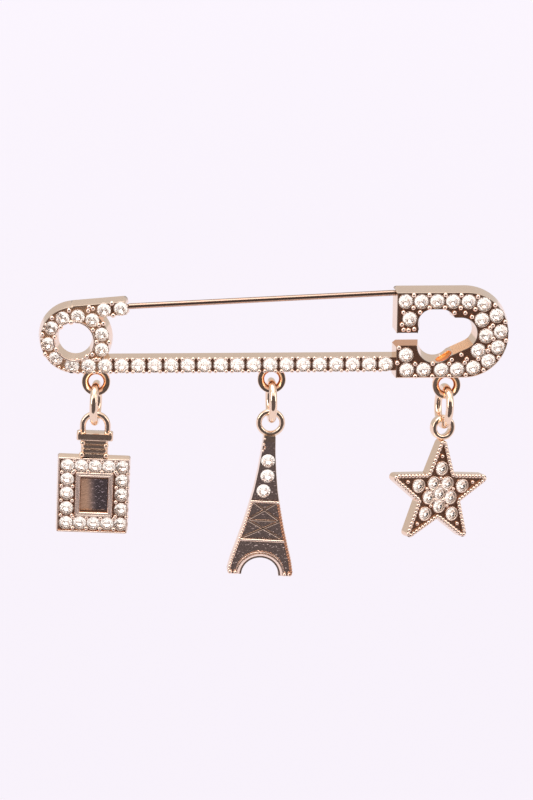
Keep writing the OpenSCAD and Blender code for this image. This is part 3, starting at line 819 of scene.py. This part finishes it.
def bottlePieces(look):
    placement, front, back, floor, stones = charmFrame("bottle", look)
    outline = rounded(rectangle(look["w"], look["low"], look["top"]), look["cornerR"])
    body = prism(outline, draftProfile(front, back, look["draft"], look["edge"]))
    body.name = "bottle_body"
    inset = look["draft"] + look["rim"]
    carve(body, prism(outline, [(front - 1, inset), (floor, inset + 0.04)]))
    half = look["paneH"] / 2
    pane = rectangle(look["paneW"] - 0.2, look["paneZ"] - half + 0.1, look["paneZ"] + half - 0.1,
                     look["paneX"])
    carve(body, prism(rounded(pane, 0.1), [(front - 1, 0), (front + 0.6, 0)]))
    carveSeats(body, [(stones, floor)], look["seatR"])
    # Painted shade: the sunken floor gets the darker plate
    level = floor - 0.02
    tintFaces(body, paintedShadeGold,
              lambda middle, normal: facesFront(normal) and level < middle.y < level + 0.1)
    inPlace(body, placement)

    bm = bmesh.new()
    half = look["frameH"] / 2
    outer = rectangle(look["frameW"], look["paneZ"] - half, look["paneZ"] + half, look["paneX"])
    band = (look["frameW"] - look["paneW"]) / 2
    addLoft(bm, rounded(outer, 0.12), [
        (front + 0.55, 0), (front + 0.08, 0.0), (front - 0.03, 0.07), (front - 0.06, 0.16),
        (front - 0.03, 0.25), (front + 0.12, 0.33), (front + 0.12, band - 0.33),
        (front - 0.03, band - 0.25), (front - 0.06, band - 0.16), (front - 0.03, band - 0.07),
        (front + 0.1, band), (front + 0.45, band + 0.04)])
    frameRim = makePiece("bottle_pane_frame", bm, paintedHighlightBeadGold, placement, angle=60)
    # The pane is the face that closes the frame; its sheen from tan to slate is painted
    middle = placement @ Vector((look["paneX"], front, look["paneZ"]))
    tintFaces(frameRim, paintedSheenPane("pane_painted_sheen_plate", paneSheenLook, middle.x),
              lambda at, normal: facesFront(normal) and (at - middle).length < 1)

    bm = bmesh.new()
    half = look["plateT"] / 2
    low, high = look["plateLow"], look["plateTop"]
    addStack(bm, rounded(rectangle(look["plateW"], -half, half), 0.4),
             [(low, 0.1), (low + 0.04, 0.03), (low + 0.12, 0),
              (high - 0.1, 0), (high - 0.03, 0.03), (high, 0.1)])
    half = look["neckT"] / 2
    neck = rounded(rectangle(look["neckW"], -half, half), 0.7)
    ribH = (low - look["top"] + 0.1) / look["ribs"]
    for i in range(look["ribs"]):
        z = look["top"] - 0.1 + i * ribH
        addStack(bm, neck, [(z, 0.14), (z + 0.14 * ribH, 0.02), (z + 0.3 * ribH, 0),
                            (z + 0.7 * ribH, 0), (z + 0.86 * ribH, 0.02), (z + ribH, 0.14)])
    archZ = addWireLoop(bm, look["archR"], look["wire"], 40, math.pi)
    for s in (-1, 1):
        addPost(bm, (s * look["archR"], 0), high - 0.05, archZ + 0.01, look["wire"], look["foot"])
    for x, z, r in look["blobs"]:
        addBall(bm, (x, 0.1 - half, z), r)
    cap = makePiece("bottle_stopper", bm, roseGold, placement)

    bm = bmesh.new()
    flat = flatPlaces(stones)
    for p in grainsInPairs(flat, look["grainOff"], look["grainReach"]):
        addBall(bm, (p.x, floor - look["grainProud"], p.y), look["grainR"])
    for p in flat:
        addBezel(bm, p, floor, look["seatR"], look["bezel"])
    addRim(bm, outline, look["draft"] + 0.1, front + 0.06, roundSection(0.12, 0.12, 0.11))
    grains = makePiece("bottle_grains", bm, paintedHighlightBeadGold, placement, angle=180)
    return [body, frameRim, cap, grains]


print("bottle")
dress(bottlePieces(bottleLook), "bottle")


# Tower: a tapering lattice tower with three stones, a braced panel and an arched foot
towerLook = {
    "yaw": 1.0, "lean": 4.0, "pitch": 0.0, "t": 1.5, "draft": 0.1, "edge": 0.06, "floorDepth": 0.25,
    "seatR": 1.07,
    # Half width at each height
    "sides": [(-2.4, 0.95), (-5.2, 1.12), (-8.0, 1.42), (-11.0, 1.85), (-14.0, 2.45),
              (-17.0, 3.15), (-20.0, 3.98), (-22.3, 4.65), (-24.0, 5.0), (-24.85, 5.05)],
    "upperTop": -3.4, "upperLow": -12.75, "upperW": 0.2, "panelTop": -13.1, "panelLow": -18.9,
    "beltLow": -19.4, "fieldLow": -24.5, "railW": 0.46, "cornerR": 0.3, "footR": 0.45,
    "archR": 2.85, "archZ": -24.75, "archRim": 0.62, "loopR": 1.72, "wire": 0.44,
    "braceW": 0.34, "braceT": 0.16, "crossHalf": 0.14, "railBeadR": 0.25, "railPitch": 0.46,
    "railBeadIn": 0.27, "paintedShadeRail": 0.6,
    # Cast blobs on the feet, and on the left edge near the top, as x, z and radius
    "blobs": [(4.55, -24.45, 0.36), (3.75, -24.5, 0.32), (0.75, -3.0, 0.2), (0.8, -3.9, 0.22),
              (0.62, -4.5, 0.16), (0.88, -4.9, 0.2)],
}


def towerHalf(look, z):
    sides = look["sides"]
    for (z1, w1), (z0, w0) in zip(sides, sides[1:]):
        if z >= z0:
            return w1 + (w0 - w1) * (z1 - z) / (z1 - z0)
    return sides[-1][1]


def towerPieces(look):
    placement, front, back, floor, stones = charmFrame("tower", look)
    corners = [(w, z) for z, w in reversed(look["sides"])] + [(-w, z) for z, w in look["sides"]]
    radii = [look["cornerR"]] * len(corners)
    radii[0] = radii[-1] = look["footR"]
    body = prism(rounded(corners, radii), draftProfile(front, back, look["draft"], look["edge"]))
    body.name = "tower_body"
    arch = (0, look["archZ"])
    carve(body, prism(circle(arch, look["archR"]), [(front - 0.5, 0), (back + 0.5, 0.1)]))

    def field(top, low, inset):
        # Cutter for a sunken field that follows the tower's sides
        levels = [top - (top - low) * i / 4 for i in range(5)]
        side = [(towerHalf(look, z) - inset, z) for z in reversed(levels)]
        return prism(rounded(side + [(-x, z) for x, z in reversed(side)], 0.05),
                     [(front - 1, 0), (floor, 0.05)], wavyGold)

    carve(body, field(look["upperTop"], look["upperLow"], look["upperW"]))
    carve(body, field(look["panelTop"], look["panelLow"], look["railW"]))
    lower = field(look["beltLow"], look["fieldLow"], look["railW"])
    carve(lower, prism(circle(arch, look["archR"] + look["archRim"]),
                       [(front - 2, 0), (floor + 1, 0)]))
    carve(body, lower)
    carveSeats(body, [(stones, floor)], look["seatR"])
    inPlace(body, placement)

    bm = bmesh.new()
    half, braceFront, braceBack = look["braceW"] / 2, floor - look["braceT"], floor + 0.1
    top, low = look["panelTop"], look["panelLow"]
    middle = (top + low) / 2
    for z1, z0 in ((top + 0.05, middle), (middle, low - 0.05)):
        for s in (-1, 1):
            a = Vector((-s * (towerHalf(look, z1) - look["railW"]), 0, z1))
            b = Vector((s * (towerHalf(look, z0) - look["railW"]), 0, z0))
            first = len(bm.verts)
            addBlock(bm, (0, braceFront, -half), ((b - a).length, braceBack, half), 0.07)
            turn = Matrix.Rotation(-math.atan2(b.z - a.z, b.x - a.x), 4, "Y")
            bm.verts.ensure_lookup_table()
            bmesh.ops.transform(bm, matrix=Matrix.Translation(a) @ turn, verts=bm.verts[first:])
    width, half = towerHalf(look, middle) - look["railW"], look["crossHalf"]
    addBlock(bm, (-width, braceFront, middle - half), (width, braceBack, middle + half), 0.06)
    braces = makePiece("tower_braces", bm, roseGold, placement)

    bm = bmesh.new()
    lowest = look["fieldLow"] + 0.3
    z = look["panelTop"] + 0.1
    while z > lowest:
        for s in (-1, 1):
            x = s * (towerHalf(look, z) - look["railBeadIn"])
            addBall(bm, (x, front + 0.04, z), look["railBeadR"])
        z -= look["railPitch"]
    belt = (look["panelLow"] + look["beltLow"]) / 2
    for level, r in ((belt, 0.2), (look["panelTop"] + 0.16, 0.16)):
        wide = towerHalf(look, level) - 0.35
        addRod(bm, r, 2 * wide, Matrix.Translation((0, front + 0.02, level))
               @ Matrix.Rotation(math.pi / 2, 4, "Y"), 16)
    # Sloped band round the arch and a thin bead outside it
    slopedBand = [(0.3, 0.15), (0.3, -0.14), (0.2, -0.2), (-0.3, 0.1), (-0.3, 0.15)]
    for reach, section in ((0.36, slopedBand), (0.84, roundSection(0.08, 0.09, 0.07))):
        addBand(bm, (0, front + 0.02, look["archZ"]), look["archR"] + reach, section, 48, 0.03,
                math.pi - 0.06)
    # The blobs low down are on both feet
    for x, z, r in look["blobs"]:
        for s in (-1, 1) if z < look["fieldLow"] + 1 else (-1,):
            addBall(bm, (s * x, front + 0.02, z), r)
    rails = makePiece("tower_rails", bm, paintedHighlightBeadGold, placement, angle=30)
    home = placement.inverted()

    def onRight(at, normal):
        here = home @ at
        return (look["fieldLow"] < here.z < look["panelTop"]
                and here.x > towerHalf(look, here.z) - look["paintedShadeRail"])
    # Painted shade: the right rail gets the darker plate
    tintFaces(rails, paintedShadeGold, onRight)

    bm = bmesh.new()
    addWireLoop(bm, look["loopR"], look["wire"])
    loop = makePiece("tower_loop", bm, ringGold, placement, angle=60)
    return [body, braces, rails, loop]


print("tower")
dress(towerPieces(towerLook), "tower")


# Star: drafted walls, a bead row along every edge, stones and sunken points darkened with painted
# shade
starLook = {
    "yaw": 19.1, "lean": 7.1, "pitch": -7.9, "t": 1.8, "draft": 0.08, "edge": 0.06,
    "middle": -10.26, "tipR": 9.45, "notchR": 3.78, "tipRound": 0.66, "notchRound": 0.12,
    "floorDepth": 0.25, "rim": 0.66, "seatR": 0.89, "beadR": 0.31, "beadPitch": 0.56,
    "beadIn": 0.36, "beadSunk": 0.1, "bezel": 0.09, "pointBeadR": 0.32, "pointBeadAt": 5.65,
    "pointBeadProud": 0.08, "grainR": 0.3, "grainOff": 0.78, "grainProud": 0.1, "grainReach": 2.4,
    "loopIn": 1.1, "loopOut": 1.87, "loopHalf": 0.7, "loopCorner": 0.34,
}


def starOutline(look):
    corners = []
    for i in range(5):
        corners += [polar(look["tipR"], 90 + 72 * i, (0, look["middle"])),
                    polar(look["notchR"], 126 + 72 * i, (0, look["middle"]))]
    return rounded(corners, [look["tipRound"], look["notchRound"]] * 5)


def evenly(outline, pitch):
    # Points spaced evenly along a closed outline
    total = sum(math.dist(a, b) for a, b in zip(outline, outline[1:] + outline[:1]))
    count = round(total / pitch)
    step, carried, points = total / count, 0.0, []
    for a, b in zip(outline, outline[1:] + outline[:1]):
        length = math.dist(a, b)
        while carried <= length and len(points) < count:
            t = carried / length if length else 0
            points.append((a[0] + (b[0] - a[0]) * t, a[1] + (b[1] - a[1]) * t))
            carried += step
        carried -= length
    return points


def starPieces(look):
    placement, front, back, floor, stones = charmFrame("star", look)
    outline = starOutline(look)
    body = prism(outline, draftProfile(front, back, look["draft"], look["edge"]))
    body.name = "star_body"
    carve(body, prism(outline, [(front - 1, look["rim"]), (floor, look["rim"] + 0.05)]))
    carveSeats(body, [(stones, floor)], look["seatR"])
    # Painted shade: the sunken floor gets the darker plate
    tintFaces(body, paintedShadeGold, sunken(floor))
    inPlace(body, placement)

    bm = bmesh.new()
    for x, z in evenly(outline(look["beadIn"]), look["beadPitch"]):
        addBall(bm, (x, front + look["beadSunk"], z), look["beadR"])
    for i in range(5):
        x, z = polar(look["pointBeadAt"], 90 + 72 * i, (0, look["middle"]))
        addBall(bm, (x, floor - look["pointBeadProud"], z), look["pointBeadR"])
    flat = flatPlaces(stones)
    for p in grainsInPairs(flat, look["grainOff"], look["grainReach"]):
        if min((p - q).length for q in flat) > look["seatR"]:
            addBall(bm, (p.x, floor - look["grainProud"], p.y), look["grainR"])
    for p in flat:
        addBezel(bm, p, floor, look["seatR"], look["bezel"])
    beads = makePiece("star_beads", bm, paintedHighlightBeadGold, placement, angle=180)

    bm = bmesh.new()
    # The deep loop rests on the ring with its front and back edges
    ringIn = ringLook["r"] - ringLook["wire"]
    top = ringLook["gap"] + ringLook["r"] - math.sqrt(ringIn ** 2 - look["loopHalf"] ** 2)
    wall = (look["loopOut"] - look["loopIn"]) / 2
    addBand(bm, (0, 0, top - look["loopIn"]), look["loopIn"] + wall,
            roundSection(wall, look["loopHalf"], look["loopCorner"], 6))
    loop = makePiece("star_loop", bm, ringGold, placement)
    return [body, beads, loop]


print("star")
dress(starPieces(starLook), "star")

# CAD nodes that keep their shape and get a better finish
print("materials of the CAD nodes")
finishes = {"needle": needleSteel, "hinge_rivet": needleSteel, "bottle_ring": ringGold,
            "tower_ring": ringGold, "star_ring": ringGold}
for name, node in nodes.items():
    if name.endswith("_stones"):
        finishes[name] = crystal
for name, material in finishes.items():
    node = nodes[name]
    for slot in node.material_slots:
        slot.material = material


# Stage: a pale floor far below, an even pale surround and soft lamps overhead
stageLook = {
    "floorZ": -300.0, "floorHalf": 9000.0, "floorColour": "#3A383A", "floorGlow": "#F0EAF3",
    "paperGrain": 25.0, "grainHeight": 0.1,
    "sky": "#FFFDFC", "lowSky": 0.67, "highSky": 1.35, "lowUpTo": 0.5, "highFrom": 0.82,
    "cardX": (-420, 620), "cardZ": (-290, 250), "cardY": -330, "lampAim": (0, 0, -15),
}


def addCard(name, corners, material):
    mesh = bpy.data.meshes.new(name)
    mesh.from_pydata([[c * mm for c in corner] for corner in corners], [], [(0, 1, 2, 3)])
    mesh.materials.append(material)
    return addObject(name, mesh)


def floorPiece(look):
    # Matt paper whose own pale glow lifts it to an even near-white
    material, tree, place = newMaterial("studio_paper")
    grain = addNode(tree, "ShaderNodeTexNoise", links={"Vector": place["Object"]},
                    values={"Scale": 1 / (look["paperGrain"] * mm)})
    bump = addNode(tree, "ShaderNodeBump", links={"Height": grain.outputs["Fac"]},
                   values={"Strength": 0.02, "Distance": look["grainHeight"] * mm})
    paper = addNode(tree, "ShaderNodeBsdfPrincipled", links={"Normal": bump.outputs["Normal"]},
                    values={"Base Color": linear(look["floorColour"]), "Roughness": 0.95,
                            "Emission Color": linear(look["floorGlow"]), "Emission Strength": 1.0})
    addNode(tree, "ShaderNodeOutputMaterial", links={"Surface": paper.outputs["BSDF"]})
    h, z = look["floorHalf"], look["floorZ"]
    addCard("floor", [(-h, -h, z), (h, -h, z), (h, h, z), (-h, h, z)], material)


# Cards in front, out of the picture: only the metal sees the dark one, only the stones the pale
cardLook = {
    "dark_card": {"tones": ("#2C2B31", "#827A7B"), "patch": 14.0, "span": (0.3, 0.72),
                  "glow": 1.0, "inGlass": False},
    "pale_card": {"tones": ("#2E2422", "#FFFFFF"), "patch": 90.0, "span": (0.41, 0.47),
                  "glow": 1.55, "inGlass": True},
}


def frontCard(name, look, stage):
    # Glowing card, blotched with two tones
    material, tree, place = newMaterial(name)
    patches = addNode(tree, "ShaderNodeTexNoise", links={"Vector": place["Object"]},
                      values={"Scale": 1 / (look["patch"] * mm), "Detail": 3.0, "Roughness": 0.6})
    share = addNode(tree, "ShaderNodeMapRange", links={"Value": patches.outputs["Fac"]},
                    values={"From Min": look["span"][0], "From Max": look["span"][1]})
    tone = addNode(tree, "ShaderNodeMix", {"data_type": "RGBA"},
                   links={"Factor": share.outputs["Result"]},
                   values={6: linear(look["tones"][0]), 7: linear(look["tones"][1])})
    glow = addNode(tree, "ShaderNodeEmission", links={"Color": tone.outputs[2]},
                   values={"Strength": look["glow"]})
    addNode(tree, "ShaderNodeOutputMaterial", links={"Surface": glow.outputs["Emission"]})
    (x0, x1), (z0, z1), y = stage["cardX"], stage["cardZ"], stage["cardY"]
    card = addCard(name, [(x0, y, z0), (x1, y, z0), (x1, y, z1), (x0, y, z1)], material)
    card.visible_camera = False
    card.visible_shadow = False
    card.visible_diffuse = False
    card.visible_transmission = look["inGlass"]
    card.visible_glossy = not look["inGlass"]


def surround(look):
    world = bpy.data.worlds.new("studio")
    bpy.context.scene.world = world
    world.use_nodes = True
    tree = world.node_tree
    tree.nodes.clear()
    ray = addNode(tree, "ShaderNodeTexCoord").outputs["Generated"]
    height = addNode(tree, "ShaderNodeSeparateXYZ", links={"Vector": ray}).outputs["Z"]
    glow = addNode(tree, "ShaderNodeMapRange", {"interpolation_type": "SMOOTHSTEP"},
                   links={"Value": height},
                   values={"From Min": look["lowUpTo"], "From Max": look["highFrom"],
                           "To Min": look["lowSky"], "To Max": look["highSky"]})
    sky = addNode(tree, "ShaderNodeBackground", links={"Strength": glow.outputs["Result"]},
                  values={"Color": linear(look["sky"])})
    addNode(tree, "ShaderNodeOutputWorld", links={"Surface": sky.outputs["Background"]})


# Soft lamps: place, size and how bright each looks
lampLook = {
    "top": {"at": (-60, -60, 330), "size": (300, 200), "glow": 3.0, "colour": "#FFFDFA"},
    "left": {"at": (-300, -160, 130), "size": (120, 220), "glow": 3.0, "colour": "#FFFDFC"},
    "right": {"at": (320, -120, 110), "size": (100, 220), "glow": 2.5, "colour": "#FFFBF8"},
}


def lamp(name, look, target):
    light = bpy.data.lights.new(name, "AREA")
    light.shape = "RECTANGLE"
    light.size, light.size_y = look["size"][0] * mm, look["size"][1] * mm
    light.energy = look["glow"] * math.pi * light.size * light.size_y
    light.color = linear(look["colour"])[:3]
    holder = addObject(name, light)
    holder.location = Vector(look["at"]) * mm
    aim = Vector(target) * mm - holder.location
    holder.rotation_euler = aim.to_track_quat("-Z", "Y").to_euler()


# The photograph's viewing angle, a little left of the middle and 17 degrees above
cameraLook = {"at": (-5.09, -258.14, 63.61), "aim": (0.76, 0.0, -15.33), "lens": 81.93,
              "sensor": 36.0, "near": 0.01, "far": 20}


def camera(look):
    data = bpy.data.cameras.new("camera")
    data.lens, data.sensor_width = look["lens"], look["sensor"]
    data.clip_start, data.clip_end = look["near"], look["far"]
    holder = addObject("camera", data)
    holder.location = Vector(look["at"]) * mm
    aim = (Vector(look["aim"]) - Vector(look["at"])) * mm
    holder.rotation_euler = aim.to_track_quat("-Z", "Y").to_euler()
    bpy.context.scene.camera = holder


print("stage")
floorPiece(stageLook)
for name, look in cardLook.items():
    frontCard(name, look, stageLook)
surround(stageLook)
for name, look in lampLook.items():
    lamp(name + "_lamp", look, stageLook["lampAim"])
camera(cameraLook)
bpy.context.scene.view_settings.view_transform = "Standard"
